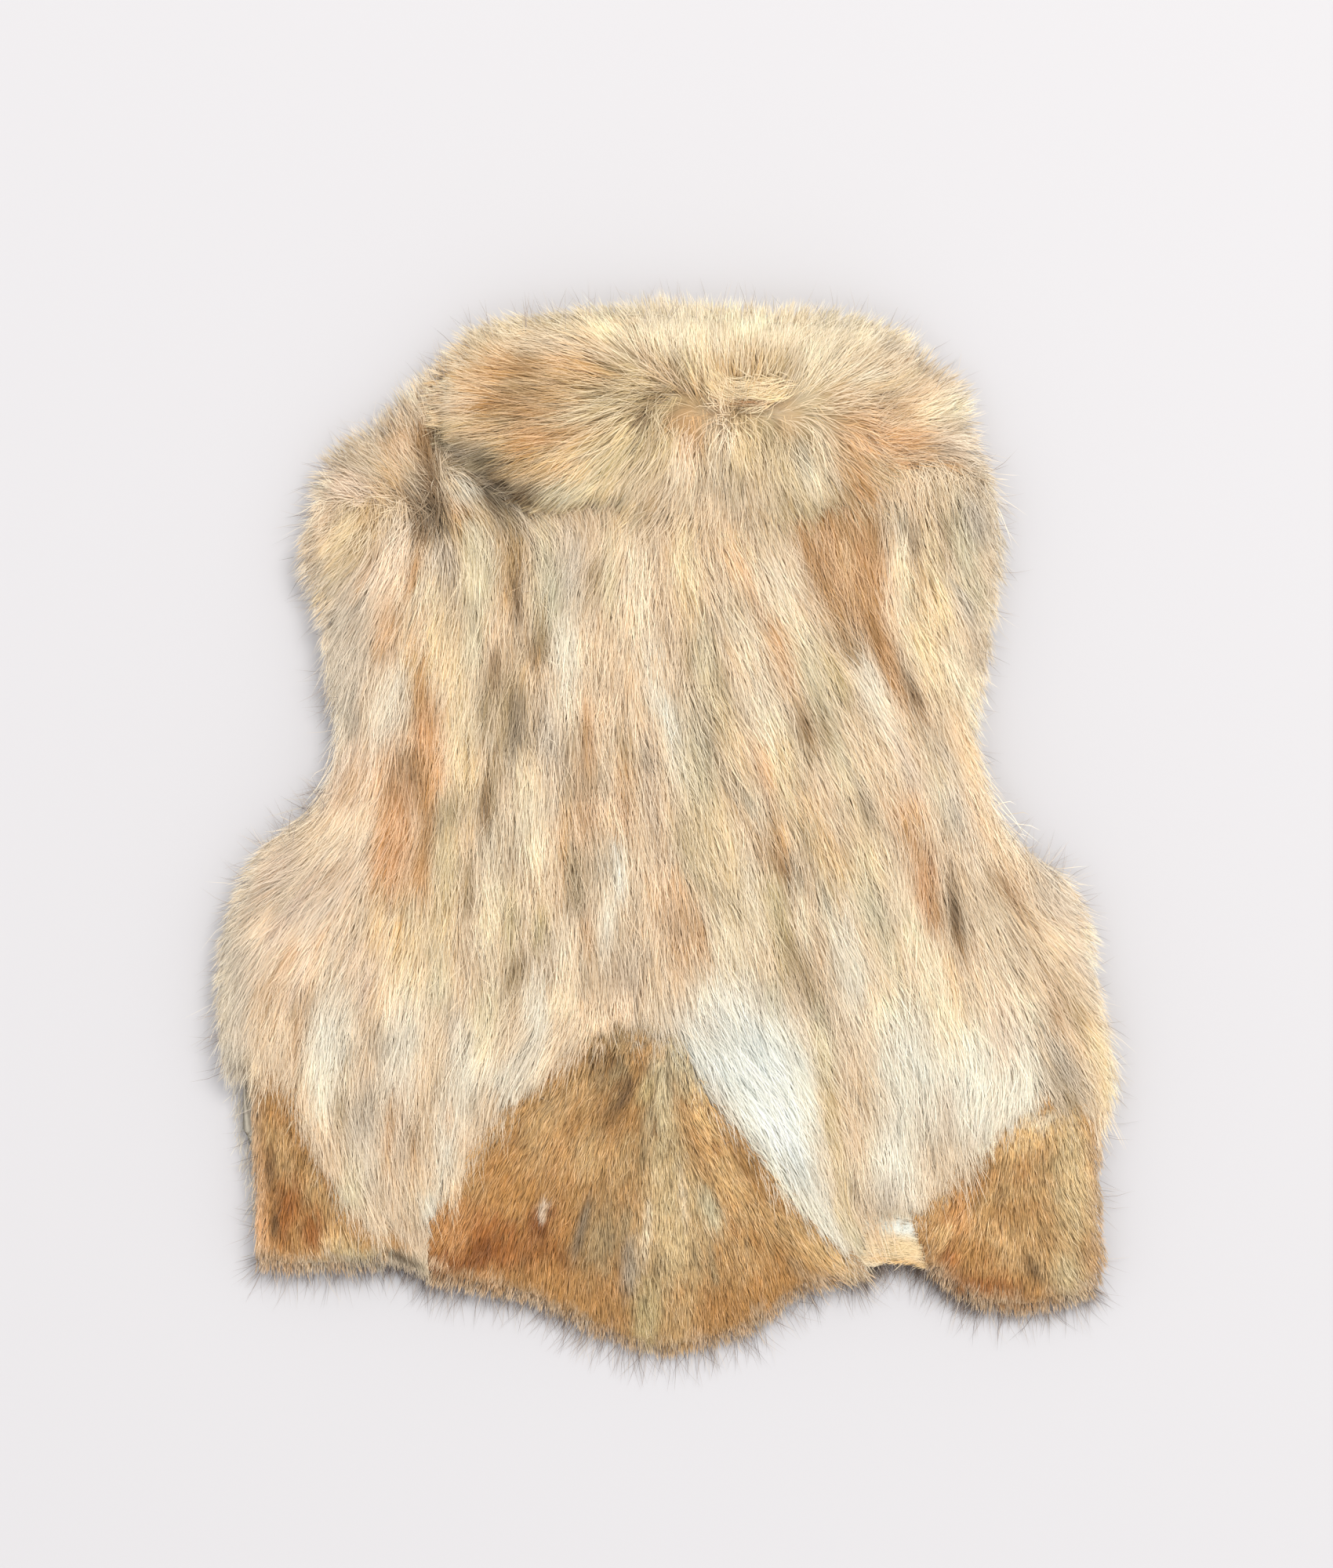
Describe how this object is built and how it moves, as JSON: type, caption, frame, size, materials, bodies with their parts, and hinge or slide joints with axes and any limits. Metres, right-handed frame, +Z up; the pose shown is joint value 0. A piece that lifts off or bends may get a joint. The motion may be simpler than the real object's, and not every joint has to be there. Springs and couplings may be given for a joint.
{
  "type": "fur vest laid face down",
  "caption": "Sleeveless fur vest laid face down: long light pelts, short tan pelts at the hem with a pointed back, and a wide collar turned down.",
  "frame": {"origin": "on the table, under the middle of the vest's box", "axes": "+Y from the hem towards the collar, +X to the right as seen from above, +Z up off the table"},
  "size_m": [0.5496, 0.6412, 0.0505],
  "materials": {
    "long_fur": "long soft fur, cream to tan with grey-brown underfur",
    "short_fur": "short dense fur, tan to rust with a straw spine line",
    "cream_fur": "very short smooth cream fur",
    "collar_fur": "long soft fur, honey and ivory",
    "front_fur": "long soft cream fur"
  },
  "bodies": {
    "root": {"front_left": "front_fur", "front_right": "front_fur", "collar_end_left": "collar_fur", "collar_end_right": "collar_fur", "back_left": "long_fur", "back_centre": "long_fur", "back_right": "long_fur", "hem_left": "short_fur", "hem_centre": "short_fur", "hem_right": "short_fur", "gusset_left": "cream_fur", "gusset_right": "cream_fur", "shoulder_left": "long_fur", "shoulder_right": "long_fur", "collar_left": "collar_fur", "collar_right": "collar_fur", "collar_top": "collar_fur"}
  },
  "joints": []
}
